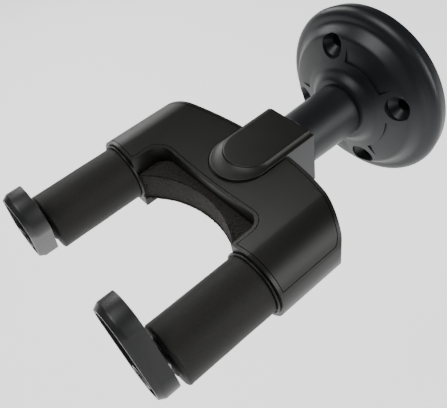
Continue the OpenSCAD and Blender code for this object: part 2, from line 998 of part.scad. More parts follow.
module front_bushing(side) {
    color(BLACK_PLASTIC)
        at_arm(side)
            difference() {
                union() {
                    rod(sleeve_end_depth - bushing_l, bushing_l + EPS, tube_bore_r);
                    rod(sleeve_end_depth, bushing_flange_t, bushing_flange_r);
                }
                rod(0, BIG, rod_r + running_fit);
            }
}

module rear_bushing(side) {
    color(NYLON)
        at_arm(side)
            difference() {
                union() {
                    rod(tube_depth - EPS, bushing_l, tube_bore_r);
                    rod(tube_depth - bushing_flange_t, bushing_flange_t, bushing_flange_r);
                }
                rod(0, BIG, rod_r + running_fit);
            }
}

// ---- Stops ----

// Bar with round ends, along +X from the origin, drawn upwards.
module round_bar(r, length, h) {
    cylinder(h = h, r = r);
    translate([length, 0, 0])
        cylinder(h = h, r = r);
    translate([0, -r, 0])
        cube([length, 2 * r, h]);
}

// The same bar with its outline drawn in by a chamfer towards the top.
module chamfered_bar(r, length, h, inset) {
    section = [[-r, 0], [r, 0], [r - inset, h], [inset - r, h]];
    for (x = [0, length])
        translate([x, 0, 0])
            cylinder(h = h, r1 = r, r2 = r - inset);
    rotate([90, 0, 90])
        linear_extrude(length)
            polygon(section);
}

// Stands a shape out from the wall at the right arm, with +X along the open stop.
module at_open_stop(side, depth) {
    on_side(side)
        translate([arm_x, 0, arm_rise])
            out(depth)
                rotate([0, 0, 180 - stop_angle])
                    children();
}

module stop_pocket() {
    pocket_r = stop_r - stop_chamfer - stop_rim;
    pocket_floor = stop_bore_l + stop_web / 2;
    difference() {
        translate([0, 0, pocket_floor])
            round_bar(pocket_r, stop_reach, stop_t);
        cylinder(h = 2 * stop_t, r = stop_hub_r);
        translate([-stop_r, -stop_rib_half_w, 0])
            cube([stop_r, 2 * stop_rib_half_w, stop_t - stop_rib_sink]);
        translate([stop_cross_rib_x, -stop_r, 0])
            cube([2 * stop_rib_half_w, 2 * stop_r, stop_t - stop_rib_sink]);
    }
}

module stop(side) {
    straight_t = stop_t - stop_chamfer_depth;
    color(BLACK_METAL)
        at_open_stop(side, stop_depth)
            difference() {
                union() {
                    round_bar(stop_r, stop_reach, straight_t);
                    translate([0, 0, straight_t])
                        chamfered_bar(stop_r, stop_reach, stop_chamfer_depth, stop_chamfer);
                }
                stop_pocket();
                translate([0, 0, -1])
                    cylinder(h = stop_bore_l + 1, r = rod_r);
                translate([0, 0, -1])
                    cylinder(h = BIG, r = rod_screw_r);
                translate([0, 0, stop_bore_l + stop_web])
                    cylinder(h = BIG, r = stop_head_r + stop_head_fit);
            }
}

module stop_screw(side) {
    head_z = stop_bore_l + stop_web;
    cross_slot_z = head_z + stop_head_h - cross_slot_depth;
    color(STEEL)
        at_open_stop(side, stop_depth)
            difference() {
                union() {
                    translate([0, 0, stop_bore_l - rod_screw_l])
                        cylinder(h = head_z - stop_bore_l + rod_screw_l + EPS, r = rod_screw_r);
                    translate([0, 0, head_z])
                        cylinder(h = stop_head_h, r = stop_head_r);
                }
                for (turn = [0, 90])
                    rotate([0, 0, turn])
                        translate([-cross_slot_l / 2, -cross_slot_w / 2, cross_slot_z])
                            cube([cross_slot_l, cross_slot_w, BIG]);
            }
}

module lock_rod(side) {
    color(STEEL)
        at_arm(side)
            difference() {
                rod(rod_depth, rod_tip_depth - rod_depth, rod_r);
                rod(rod_tip_depth - rod_screw_l, BIG, rod_screw_r);
                ring(groove_depth, groove_t, rod_r + 1, groove_r);
                if (rod_end_r < rod_r)
                    ring(rod_depth - EPS, crank_depth + crank_t - rod_depth + EPS, rod_r + 1, rod_end_r);
            }
}

module rod_clip(side) {
    color(STEEL)
        at_arm(side)
            difference() {
                ring(groove_depth + clip_fit, groove_t - 2 * clip_fit, clip_r, groove_r);
                translate([-clip_mouth / 2, -BIG, -clip_r - 1])
                    cube([clip_mouth, BIG, clip_r + 1 - groove_r / 2]);
            }
}

// Stands a shape out from the wall at the right arm, with +X along the crank at rest.
module at_crank(side, depth) {
    on_side(side)
        translate([arm_x, 0, arm_rise])
            out(depth)
                rotate([0, 0, -stop_angle / 2])
                    children();
}

module crank(side) {
    color(STEEL)
        at_crank(side, crank_depth)
            difference() {
                union() {
                    cylinder(h = crank_t, r = crank_hub_r);
                    round_bar(crank_eye_r, crank_r, crank_t);
                }
                translate([0, 0, -1])
                    cylinder(h = crank_t + 2, r = rod_end_r);
                translate([crank_r, 0, -1])
                    cylinder(h = crank_t + 2, r = crank_pin_r);
            }
}

module crank_pin(side) {
    color(STEEL)
        at_crank(side, crank_pin_depth)
            translate([crank_r, 0, 0])
                cylinder(h = crank_depth + crank_t - crank_pin_depth, r = crank_pin_r);
}

base_plate();
neck_tube();
retaining_plate();
flange_screws();
neck_plug();
pivot_bolt();
wave_washer();
friction_washer();
limit_pin();
swivel_block();
block_cap();
spring_foot();
foot_screws();
guide_pins();
cross_bar();
bar_screws();
return_spring(LEFT);  // spring_left
return_spring(RIGHT);  // spring_right
upper_shell();
lower_shell();
cover_panel();
shell_screws();
neck_pad();
arm_tube(LEFT);  // arm_tube_left
arm_tube(RIGHT);  // arm_tube_right
foam_sleeve(LEFT);  // foam_sleeve_left
foam_sleeve(RIGHT);  // foam_sleeve_right
collar_ring(LEFT);  // collar_ring_left
collar_ring(RIGHT);  // collar_ring_right
front_bushing(LEFT);  // front_bushing_left
front_bushing(RIGHT);  // front_bushing_right
rear_bushing(LEFT);  // rear_bushing_left
rear_bushing(RIGHT);  // rear_bushing_right
lock_rod(LEFT);  // lock_rod_left
lock_rod(RIGHT);  // lock_rod_right
crank(LEFT);  // crank_left
crank(RIGHT);  // crank_right
crank_pin(LEFT);  // crank_pin_left
crank_pin(RIGHT);  // crank_pin_right
rod_clip(LEFT);  // rod_clip_left
rod_clip(RIGHT);  // rod_clip_right
stop(LEFT);  // stop_left
stop(RIGHT);  // stop_right
stop_screw(LEFT);  // stop_screw_left
stop_screw(RIGHT);  // stop_screw_right
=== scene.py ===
"""Wall guitar hanger: materials, soft pieces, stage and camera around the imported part."""

import json
import math

import bmesh
import bpy
from bpy.props import FloatProperty, FloatVectorProperty, PointerProperty
from mathutils import Matrix, Vector

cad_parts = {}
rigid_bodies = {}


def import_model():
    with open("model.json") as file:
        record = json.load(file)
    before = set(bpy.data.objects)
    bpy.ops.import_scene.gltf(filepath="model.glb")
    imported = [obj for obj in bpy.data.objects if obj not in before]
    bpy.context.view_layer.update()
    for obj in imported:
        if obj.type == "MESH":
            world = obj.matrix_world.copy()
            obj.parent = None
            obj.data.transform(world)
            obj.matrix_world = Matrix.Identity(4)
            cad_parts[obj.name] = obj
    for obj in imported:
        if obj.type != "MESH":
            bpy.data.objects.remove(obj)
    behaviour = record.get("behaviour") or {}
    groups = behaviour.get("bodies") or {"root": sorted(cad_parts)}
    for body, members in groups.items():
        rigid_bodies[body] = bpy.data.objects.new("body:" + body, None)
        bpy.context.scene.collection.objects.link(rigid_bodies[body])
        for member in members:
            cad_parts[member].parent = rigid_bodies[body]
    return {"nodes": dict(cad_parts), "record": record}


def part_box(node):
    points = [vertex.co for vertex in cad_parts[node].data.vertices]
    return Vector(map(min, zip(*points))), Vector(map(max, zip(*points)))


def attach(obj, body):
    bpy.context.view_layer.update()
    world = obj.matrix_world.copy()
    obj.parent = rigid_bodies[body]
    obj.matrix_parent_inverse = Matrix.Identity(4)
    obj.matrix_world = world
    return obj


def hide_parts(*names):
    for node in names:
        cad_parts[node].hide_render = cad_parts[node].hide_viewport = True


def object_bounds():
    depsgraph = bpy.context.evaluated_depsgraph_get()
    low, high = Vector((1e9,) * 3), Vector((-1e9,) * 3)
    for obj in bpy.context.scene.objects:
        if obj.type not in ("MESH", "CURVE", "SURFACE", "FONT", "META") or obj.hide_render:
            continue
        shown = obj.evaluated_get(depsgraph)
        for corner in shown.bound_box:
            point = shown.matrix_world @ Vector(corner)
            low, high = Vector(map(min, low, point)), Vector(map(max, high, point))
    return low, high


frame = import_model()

bl_info = {
    "name": "Wall guitar hanger",
    "version": (1, 0, 0),
    "blender": (4, 5, 0),
    "location": "3D View > Sidebar > Hanger",
    "description": "Finishes a wall guitar hanger with foam, moulded plastic and coated metal",
    "category": "Object",
}

CAD_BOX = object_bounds()
MM = 0.001
SIDES = {"left": -1, "right": 1}

CAP_FLARE = 2.1 * MM
CAP_LEAD = 4.4 * MM
CAP_REAR_DROP = 0.5 * MM
CAP_LIP = 0.35 * MM
CAP_FOOT_T = 0.35 * MM
CAP_FOOT_INSET = 0.12 * MM
CAP_REAR_INSET = 0.06 * MM
CAP_COVE_POWER = 2.3
CAP_COVE_STEPS = 12
CAP_TOP_INSETS = (1.2 * MM, 4.0 * MM)
SLEEVE_SIDES = 120
SLEEVE_CUTS = 44
PAD_CORNER = 6.2 * MM
PAD_HOLLOW = 42.5 * MM
PAD_COLUMNS, PAD_ROWS, PAD_CUTS = 150, 30, 24


def deselect_all():
    """Leaves nothing selected, so that an operator acts only on what comes next."""
    if bpy.context.mode != "OBJECT":
        bpy.ops.object.mode_set(mode="OBJECT")
    for item in bpy.context.scene.objects:
        item.select_set(False)


def make_active(piece):
    """Selects one piece alone and makes it active."""
    deselect_all()
    piece.select_set(True)
    bpy.context.view_layer.objects.active = piece


def edit(piece):
    """Opens one piece in edit mode."""
    make_active(piece)
    bpy.ops.object.mode_set(mode="EDIT")


def done():
    """Leaves edit mode."""
    bpy.ops.object.mode_set(mode="OBJECT")


def pick(piece, chosen, kind="FACE"):
    """Selects the faces, edges or vertices that a test chooses, and leaves the piece in edit mode."""
    edit(piece)
    bpy.ops.mesh.select_mode(type=kind)
    bpy.ops.mesh.select_all(action="DESELECT")
    shape = bmesh.from_edit_mesh(piece.data)
    for item in {"FACE": shape.faces, "EDGE": shape.edges, "VERT": shape.verts}[kind]:
        item.select = chosen(item)
    shape.select_flush_mode()
    bmesh.update_edit_mesh(piece.data)


def apply(piece, kind, **settings):
    """Adds a modifier with its settings and applies it."""
    make_active(piece)
    modifier = piece.modifiers.new(kind.title(), kind)
    for name, value in settings.items():
        setattr(modifier, name, value)
    bpy.ops.object.modifier_apply(modifier=modifier.name)


def settle(piece):
    """Puts a piece's place into its mesh."""
    make_active(piece)
    bpy.ops.object.transform_apply(location=True, rotation=True, scale=True)


def smooth(piece, angle=35):
    """Shades a piece smooth, with edges sharper than an angle in degrees kept hard."""
    make_active(piece)
    bpy.ops.object.shade_smooth_by_angle(angle=math.radians(angle), keep_sharp_edges=False)


def dress(piece, material, body, slot_name, *nodes):
    """Gives a piece its material and its body, and hides the nodes that it stands for. The slot name is not used."""
    piece.data.materials.clear()
    piece.data.materials.append(material)
    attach(piece, body)
    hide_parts(*nodes)
    return piece


# ---- Shader maths ----


class Wire:
    """A node's output, with arithmetic that adds Math nodes."""

    def __init__(self, paint, socket):
        self.paint = paint
        self.socket = socket

    def _math(self, operation, *values):
        return self.paint.node("ShaderNodeMath", {"operation": operation}, dict(enumerate(values)))

    def __add__(self, other):
        return self._math("ADD", self, other)

    def __rsub__(self, other):
        return self._math("SUBTRACT", other, self)

    def __mul__(self, other):
        return self._math("MULTIPLY", self, other)

    def ramp(self, low, high):
        """0 below low, 1 above high, and smooth between them."""
        return self.paint.node(
            "ShaderNodeMapRange",
            {"interpolation_type": "SMOOTHSTEP", "clamp": True},
            {"Value": self, "From Min": low, "From Max": high},
        )


class Paint:
    """One material. Constants go straight to the shader's sockets, and node() adds anything else."""

    def __init__(self, name, **constants):
        self.material = bpy.data.materials.new(name)
        self.material.use_nodes = True
        self.tree = self.material.node_tree
        self.shader = next(n for n in self.tree.nodes if n.type == "BSDF_PRINCIPLED")
        for socket, value in constants.items():
            self.shader.inputs[socket.replace("_", " ").title().replace("Ior", "IOR")].default_value = value
        self.place = self.node("ShaderNodeTexCoord", output="Object")

    def node(self, kind, settings=None, inputs=None, output=0):
        made = self.tree.nodes.new(kind)
        for name, value in (settings or {}).items():
            setattr(made, name, value)
        for name, value in (inputs or {}).items():
            if isinstance(value, Wire):
                self.tree.links.new(value.socket, made.inputs[name])
            else:
                made.inputs[name].default_value = value
        return Wire(self, made.outputs[output])

    def drive(self, socket, wire):
        self.tree.links.new(wire.socket, self.shader.inputs[socket])

    def noise(self, scale, detail=2.0, roughness=0.5, place=None):
        return self.node(
            "ShaderNodeTexNoise", None,
            {"Vector": place or self.place, "Scale": scale, "Detail": detail, "Roughness": roughness},
        )

    def cells(self, scale, feature="F1", place=None, randomness=1.0):
        return self.node(
            "ShaderNodeTexVoronoi", {"feature": feature},
            {"Vector": place or self.place, "Scale": scale, "Randomness": randomness}, "Distance",
        )

    def stretched(self, scale):
        """Object coordinates stretched by a factor along each axis."""
        return self.node("ShaderNodeMapping", None, {"Vector": self.place, "Scale": scale})

    def mix(self, share, low, high):
        """A colour between two others."""
        made = self.tree.nodes.new("ShaderNodeMix")
        made.data_type = "RGBA"
        self.tree.links.new(share.socket, made.inputs["Factor"])
        for socket, value in ((made.inputs[6], low), (made.inputs[7], high)):
            if isinstance(value, Wire):
                self.tree.links.new(value.socket, socket)
            else:
                socket.default_value = (*value, 1.0)
        return Wire(self, made.outputs[2])

    def bump(self, height, distance, strength=1.0, under=None):
        inputs = {"Height": height, "Distance": distance, "Strength": strength}
        if under is not None:
            inputs["Normal"] = under
        return self.node("ShaderNodeBump", None, inputs)


def shade(colour, factor):
    """A lighter or darker colour."""
    return tuple(min(1.0, c * factor) for c in colour)


def moulded_plastic(name, colour, roughness, grain):
    """Satin moulded plastic: a fine spark-eroded grain over slow changes of gloss."""
    paint = Paint(name, specular_ior_level=0.34)
    cloud = paint.noise(38.0, 3.0)
    fine = paint.noise(grain, 2.0, 0.6)
    speck = paint.noise(grain * 2.6, 1.0)
    paint.drive("Base Color", paint.mix(cloud * 0.6 + speck * 0.4, shade(colour, 0.75), shade(colour, 1.3)))
    paint.drive("Roughness", cloud * 0.10 + fine * 0.12 + (roughness - 0.11))
    paint.drive("Normal", paint.bump(fine * 0.7 + speck * 0.3, 0.00006, 0.5))
    return paint.material


def coated_metal(name, colour, roughness):
    """Powder coat on a casting: a low orange peel with a fine texture on it."""
    paint = Paint(name, specular_ior_level=0.36)
    peel = paint.noise(900.0, 2.0, 0.45)
    fine = paint.noise(2600.0, 2.0, 0.6)
    cloud = paint.noise(30.0, 3.0)
    paint.drive("Base Color", paint.mix(cloud * 0.5 + fine * 0.5, shade(colour, 0.75), shade(colour, 1.3)))
    paint.drive("Roughness", cloud * 0.10 + fine * 0.10 + (roughness - 0.10))
    soft = paint.bump(peel, 0.00003, 0.35)
    paint.drive("Normal", paint.bump(fine, 0.00004, 0.45, soft))
    return paint.material


def skinned_foam(name, colour):
    """The smooth skin of a foam sleeve, with closed pores showing faintly through it."""
    paint = Paint(name, specular_ior_level=0.24, sheen_weight=0.03, sheen_roughness=0.5)
    pores = paint.cells(1500.0)
    fine = paint.noise(3200.0, 2.0, 0.6)
    cloud = paint.noise(55.0, 4.0, 0.6)
    paint.drive("Base Color", paint.mix(cloud * 0.5 + pores * 0.5, shade(colour, 0.6), shade(colour, 1.45)))
    paint.drive("Roughness", cloud * 0.12 + fine * 0.12 + 0.5)
    waves = paint.bump(cloud, 0.0004, 0.35)
    paint.drive("Normal", paint.bump(pores * 0.6 + fine * 0.4, 0.0001, 0.55, waves))
    return paint.material


def open_foam(name, colour):
    """Cut foam with open pores of mixed sizes, the pores darkened with painted shade."""
    paint = Paint(name, specular_ior_level=0.2, sheen_weight=0.05, sheen_roughness=0.6)
    large = paint.cells(620.0).ramp(0.12, 0.42)
    small = paint.cells(1500.0).ramp(0.10, 0.5)
    dust = paint.noise(2400.0, 3.0, 0.7).ramp(0.35, 0.7)
    cloud = paint.noise(70.0, 4.0, 0.6)
    depth = large * 0.55 + small * 0.45
    pale = paint.mix(dust, shade(colour, 0.75), shade(colour, 1.9))
    # Painted shade: the pore centres fall to a quarter of the foam colour, standing in for the shade inside the open
    # pores.
    pore_shade = shade(colour, 0.25)
    paint.drive("Base Color", paint.mix(depth * 0.75 + cloud * 0.25, pore_shade, pale))
    paint.drive("Roughness", 0.95 - dust * 0.15)
    rough = paint.bump(depth, 0.0005, 0.8)
    paint.drive("Normal", paint.bump(dust, 0.0002, 0.6, rough))
    return paint.material


def brushed_metal(name, colour, roughness, stretch):
    """Plated or turned metal with fine tool marks along one axis."""
    paint = Paint(name, metallic=1.0)
    marks = paint.noise(900.0, 3.0, 0.6, paint.stretched(stretch))
    cloud = paint.noise(140.0, 3.0)
    paint.drive("Base Color", paint.mix(cloud, shade(colour, 0.8), shade(colour, 1.1)))
    paint.drive("Roughness", marks * 0.18 + cloud * 0.08 + (roughness - 0.12))
    paint.drive("Normal", paint.bump(marks, 0.00003, 0.5))
    return paint.material


# ---- Sizes and colours ----


class HangerSizes(bpy.types.PropertyGroup):
    """Sizes that the finishing pieces use."""

    edge: FloatProperty(
        name="Edge radius", description="Rounding of moulded and cast edges",
        default=0.35 * MM, min=0.05 * MM, max=1.0 * MM, precision=5, unit="LENGTH",
    )
    sleeve_edge: FloatProperty(
        name="Sleeve edge", description="Rounding of a foam sleeve's ends",
        default=0.9 * MM, min=0.1 * MM, max=3.0 * MM, precision=5, unit="LENGTH",
    )
    sleeve_waviness: FloatProperty(
        name="Sleeve waviness", description="How uneven a foam sleeve's skin is",
        default=0.16 * MM, min=0.0, max=0.5 * MM, precision=5, unit="LENGTH",
    )
    pad_crown: FloatProperty(
        name="Pad rounding", description="Rounding of the pad's upper and lower edges",
        default=0.7 * MM, min=0.1 * MM, max=2.0 * MM, precision=5, unit="LENGTH",
    )
    pad_roughness: FloatProperty(
        name="Pad unevenness", description="How rough the pad's cut faces are",
        default=0.35 * MM, min=0.0, max=1.0 * MM, precision=5, unit="LENGTH",
    )
    floor_drop: FloatProperty(
        name="Floor drop", description="Distance of the floor below the hanger",
        default=0.30, min=0.05, max=1.0, unit="LENGTH",
    )


class HangerColours(bpy.types.PropertyGroup):
    """Colours of the finishes."""

    metal: FloatVectorProperty(
        name="Coated metal", description="Powder coat", subtype="COLOR", default=(0.0085, 0.0095, 0.0115),
    )
    plastic: FloatVectorProperty(
        name="Housing plastic", description="Moulded housing", subtype="COLOR", default=(0.0075, 0.0074, 0.0062),
    )
    stop: FloatVectorProperty(
        name="Stop plastic", description="Moulded stops", subtype="COLOR", default=(0.016, 0.0162, 0.0165),
    )
    sleeve: FloatVectorProperty(
        name="Sleeve foam", description="Foam sleeves", subtype="COLOR", default=(0.0105, 0.0102, 0.0088),
    )
    pad: FloatVectorProperty(
        name="Pad foam", description="Foam pad", subtype="COLOR", default=(0.023, 0.0205, 0.0165),
    )
    steel: FloatVectorProperty(
        name="Zinc plate", description="Plated steel", subtype="COLOR", default=(0.52, 0.53, 0.56),
    )
    spring: FloatVectorProperty(
        name="Spring steel", description="Oiled spring steel", subtype="COLOR", default=(0.32, 0.33, 0.35),
    )
    brass: FloatVectorProperty(
        name="Brass", description="Turned brass", subtype="COLOR", default=(0.72, 0.52, 0.22),
    )
    nylon: FloatVectorProperty(
        name="Nylon", description="Natural nylon bushings", subtype="COLOR", default=(0.72, 0.70, 0.62),
    )
    washer: FloatVectorProperty(
        name="Black nylon", description="Friction washer", subtype="COLOR", default=(0.012, 0.012, 0.012),
    )
    floor: FloatVectorProperty(
        name="Floor", description="Studio floor", subtype="COLOR", default=(0.92, 0.92, 0.92),
    )


FINISHES = {
    "black_metal": lambda c: coated_metal("coated_metal", tuple(c.metal), 0.40),
    "satin_plastic": lambda c: moulded_plastic("housing_plastic", tuple(c.plastic), 0.42, 1900.0),
    "panel_plastic": lambda c: moulded_plastic("panel_plastic", tuple(c.plastic), 0.46, 2300.0),
    "stop_plastic": lambda c: moulded_plastic("stop_plastic", tuple(c.stop), 0.38, 2600.0),
    "sleeve_foam": lambda c: skinned_foam("sleeve_foam", tuple(c.sleeve)),
    "pad_foam": lambda c: open_foam("pad_foam", tuple(c.pad)),
    "zinc_steel": lambda c: brushed_metal("zinc_steel", tuple(c.steel), 0.32, (1.0, 0.08, 1.0)),
    "spring_steel": lambda c: brushed_metal("spring_steel", tuple(c.spring), 0.30, (1.0, 1.0, 0.3)),
    "brass": lambda c: brushed_metal("turned_brass", tuple(c.brass), 0.28, (0.1, 1.0, 0.1)),
    "nylon": lambda c: moulded_plastic("natural_nylon", tuple(c.nylon), 0.45, 1500.0),
    "dark_nylon": lambda c: moulded_plastic("black_nylon", tuple(c.washer), 0.5, 1500.0),
}
SLOT_OF = {row["node"]: row["material_slot"] for row in frame["record"]["subparts"]}
BODY_OF = {
    node: body for body, nodes in frame["record"]["behaviour"]["bodies"].items() for node in nodes
}
made_finishes = {}


def finish_of(context, slot_name):
    """The material of a slot, made once."""
    if slot_name not in made_finishes:
        made_finishes[slot_name] = FINISHES[slot_name](context.scene.hanger_colours)
    return made_finishes[slot_name]


def finished_copy(context, node, name, edge, corner=38.0, smooth_angle=35.0):
    """A CAD node's twin with joined faces, rounded edges and smooth shading, standing for that node."""
    piece = bpy.data.objects.new(name, frame["nodes"][node].data.copy())
    context.scene.collection.objects.link(piece)
    edit(piece)
    bpy.ops.mesh.select_all(action="SELECT")
    bpy.ops.mesh.remove_doubles(threshold=2e-6)
    bpy.ops.mesh.dissolve_limited(angle_limit=math.radians(0.02))
    done()
    if edge > 0:
        apply(
            piece, "BEVEL", width=edge, segments=2, limit_method="ANGLE",
            angle_limit=math.radians(corner), use_clamp_overlap=True, miter_outer="MITER_ARC",
        )
    apply(piece, "TRIANGULATE")
    smooth(piece, smooth_angle)
    apply(piece, "WEIGHTED_NORMAL", mode="FACE_AREA_WITH_ANGLE", weight=80, keep_sharp=True)
    slot_name = SLOT_OF[node]
    return dress(piece, finish_of(context, slot_name), BODY_OF[node], slot_name, node)


def loft(name, rings):
    """A closed skin through rings of points: a filled circle is the first, and is extruded to each of the next."""
    deselect_all()
    bpy.ops.mesh.primitive_circle_add(vertices=len(rings[0]), radius=1.0, fill_type="NGON")
    piece = bpy.context.active_object
    piece.name = name
    for vertex, point in zip(piece.data.vertices, rings[0]):
        vertex.co = point
    last = list(range(len(rings[0])))
    for ring in rings[1:]:
        edit(piece)
        bpy.ops.mesh.select_mode(type="FACE")
        if len(piece.data.polygons) == 1:
            bpy.ops.mesh.select_all(action="SELECT")
        bpy.ops.mesh.extrude_region_move()
        done()
        chosen = [v.index for v in piece.data.vertices if v.select]
        places = {tuple(round(c, 9) for c in piece.data.vertices[i].co): i for i in chosen}
        last = [places[tuple(round(c, 9) for c in piece.data.vertices[i].co)] for i in last]
        for index, point in zip(last, ring):
            piece.data.vertices[index].co = point
    edit(piece)
    bpy.ops.mesh.select_all(action="SELECT")
    bpy.ops.mesh.normals_make_consistent(inside=False)
    done()
    return piece


def uneven(piece, name, grain, depth, depth_of_noise=2):
    """Lets a cloud pattern sink the surface by up to a depth, and never raise it."""
    pattern = bpy.data.textures.new(name, "CLOUDS")
    pattern.noise_scale = grain
    pattern.noise_depth = depth_of_noise
    apply(piece, "DISPLACE", texture=pattern, strength=depth, mid_level=1.0, texture_coords="LOCAL")


def node_span(node):
    """A node's centre and its size along each axis."""
    low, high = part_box(node)
    return (low + high) / 2, high - low


# ---- Operators ----


class HANGER_OT_stage(bpy.types.Operator):
    """Adds the pale floor, the soft lights and the camera."""

    bl_idname = "hanger.stage"
    bl_label = "Stage"

    def execute(self, context):
        sizes, colours = context.scene.hanger_sizes, context.scene.hanger_colours
        low, high = CAD_BOX
        middle = (low + high) / 2
        deselect_all()
        bpy.ops.mesh.primitive_plane_add(size=8.0, location=(middle.x, middle.y, low.z - sizes.floor_drop))
        floor = context.active_object
        floor.name = "studio_floor"
        settle(floor)
        paint = Paint(
            "studio_floor", roughness=0.9, base_color=(*colours.floor, 1.0), specular_ior_level=0.2,
            emission_color=(1.0, 1.0, 1.0, 1.0), emission_strength=FLOOR_GLOW,
        )
        floor.data.materials.append(paint.material)

        world = bpy.data.worlds.new("studio")
        context.scene.world = world
        world.use_nodes = True
        background = world.node_tree.nodes["Background"]
        background.inputs["Color"].default_value = (1.0, 1.0, 1.0, 1.0)
        background.inputs["Strength"].default_value = WORLD_STRENGTH

        for name, place, width, height, power in LIGHTS:
            deselect_all()
            bpy.ops.object.light_add(type="AREA", location=place)
            lamp = context.active_object
            lamp.name = name
            lamp.data.shape = "RECTANGLE"
            lamp.data.size, lamp.data.size_y = width, height
            lamp.data.energy = power
            lamp.rotation_euler = (middle - Vector(place)).to_track_quat("-Z", "Y").to_euler()

        deselect_all()
        bpy.ops.object.camera_add(location=CAMERA_PLACE)
        camera = context.active_object
        camera.name = "studio_camera"
        azimuth, elevation, roll = (math.radians(a) for a in CAMERA_ANGLES)
        back = Vector((
            math.sin(azimuth) * math.cos(elevation), -math.cos(azimuth) * math.cos(elevation), math.sin(elevation),
        ))
        level = Vector((0.0, 0.0, 1.0)).cross(back).normalized()
        upward = back.cross(level)
        right = level * math.cos(roll) + upward * math.sin(roll)
        up = upward * math.cos(roll) - level * math.sin(roll)
        camera.rotation_euler = Matrix((right, up, back)).transposed().to_euler()
        camera.data.sensor_width = CAMERA_SENSOR
        camera.data.lens = CAMERA_LENS
        camera.data.clip_start = 0.005
        context.scene.camera = camera
        return {"FINISHED"}


class HANGER_OT_base(bpy.types.Operator):
    """Finishes the cast plate and the neck."""

    bl_idname = "hanger.base"
    bl_label = "Base plate and neck"

    def execute(self, context):
        edge = context.scene.hanger_sizes.edge
        finished_copy(context, "base_plate", "plate_casting", edge)
        finished_copy(context, "neck_tube", "neck_turning", edge * 0.6)
        return {"FINISHED"}


class HANGER_OT_block(bpy.types.Operator):
    """Finishes the swivelling block and models the coved cap on it."""

    bl_idname = "hanger.block"
    bl_label = "Block and cap"

    def execute(self, context):
        edge = context.scene.hanger_sizes.edge
        finished_copy(context, "swivel_block", "block_casting", edge)
        finished_copy(context, "cross_bar", "slotted_bar", edge * 0.6)
        self.cap(context)
        return {"FINISHED"}

    def outline(self, half_w, centre_y, rear_y, z):
        """One level of the cap, seen from above: square at the rear and round at the front."""
        side, front, rear = 14, 44, 12
        points = [Vector((-half_w, rear_y + (centre_y - rear_y) * i / side, z)) for i in range(side)]
        for i in range(front + 1):
            angle = math.pi + math.pi * i / front
            points.append(Vector((half_w * math.cos(angle), centre_y + half_w * math.sin(angle), z)))
        points += [Vector((half_w, centre_y + (rear_y - centre_y) * i / side, z)) for i in range(1, side + 1)]
        points += [Vector((half_w - 2 * half_w * i / rear, rear_y, z)) for i in range(1, rear)]
        return points

    def cap(self, context):
        low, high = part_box("block_cap")
        foot_z, top_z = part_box("swivel_block")[1].z, high.z
        foot_w = high.x
        foot_y = low.y + foot_w
        top_w, top_y = foot_w - CAP_FLARE, foot_y + CAP_LEAD
        rings = [
            self.outline(foot_w, foot_y, high.y, foot_z),
            self.outline(foot_w, foot_y, high.y, foot_z + CAP_FOOT_T * 0.6),
            self.outline(foot_w - CAP_FOOT_INSET, foot_y, high.y - CAP_REAR_INSET, foot_z + CAP_FOOT_T),
        ]
        for i in range(1, CAP_COVE_STEPS + 1):
            share = i / CAP_COVE_STEPS
            rise = share ** CAP_COVE_POWER
            rings.append(self.outline(
                foot_w - CAP_FOOT_INSET + (top_w - foot_w + CAP_FOOT_INSET) * share,
                foot_y + (top_y - foot_y) * share,
                high.y - CAP_REAR_INSET - CAP_REAR_DROP * share,
                foot_z + CAP_FOOT_T + (top_z - CAP_LIP - foot_z - CAP_FOOT_T) * rise,
            ))
        for i in range(1, 5):
            turn = math.radians(90 * i / 4)
            inward = CAP_LIP * (1 - math.cos(turn)) + 0.25 * CAP_LIP * i / 4
            rings.append(self.outline(
                top_w - inward, top_y, high.y - CAP_REAR_INSET - CAP_REAR_DROP - inward,
                top_z - CAP_LIP + CAP_LIP * math.sin(turn),
            ))
        for inset in CAP_TOP_INSETS:
            rings.append(self.outline(top_w - inset, top_y, high.y - CAP_REAR_DROP - inset, top_z))
        piece = loft("coved_cap", rings)
        smooth(piece, 50)
        dress(piece, finish_of(context, "satin_plastic"), "swivel", "satin_plastic", "block_cap")


class HANGER_OT_housing(bpy.types.Operator):
    """Finishes the moulded housing, its cover panel and the rings round the sleeves."""

    bl_idname = "hanger.housing"
    bl_label = "Housing"

    def execute(self, context):
        edge = context.scene.hanger_sizes.edge
        finished_copy(context, "upper_shell", "housing_top", edge)
        finished_copy(context, "lower_shell", "housing_bottom", edge * 0.8)
        finished_copy(context, "cover_panel", "housing_panel", edge * 0.5)
        for side in SIDES:
            finished_copy(context, f"collar_ring_{side}", f"sleeve_collar_{side}", edge * 0.8)
        return {"FINISHED"}


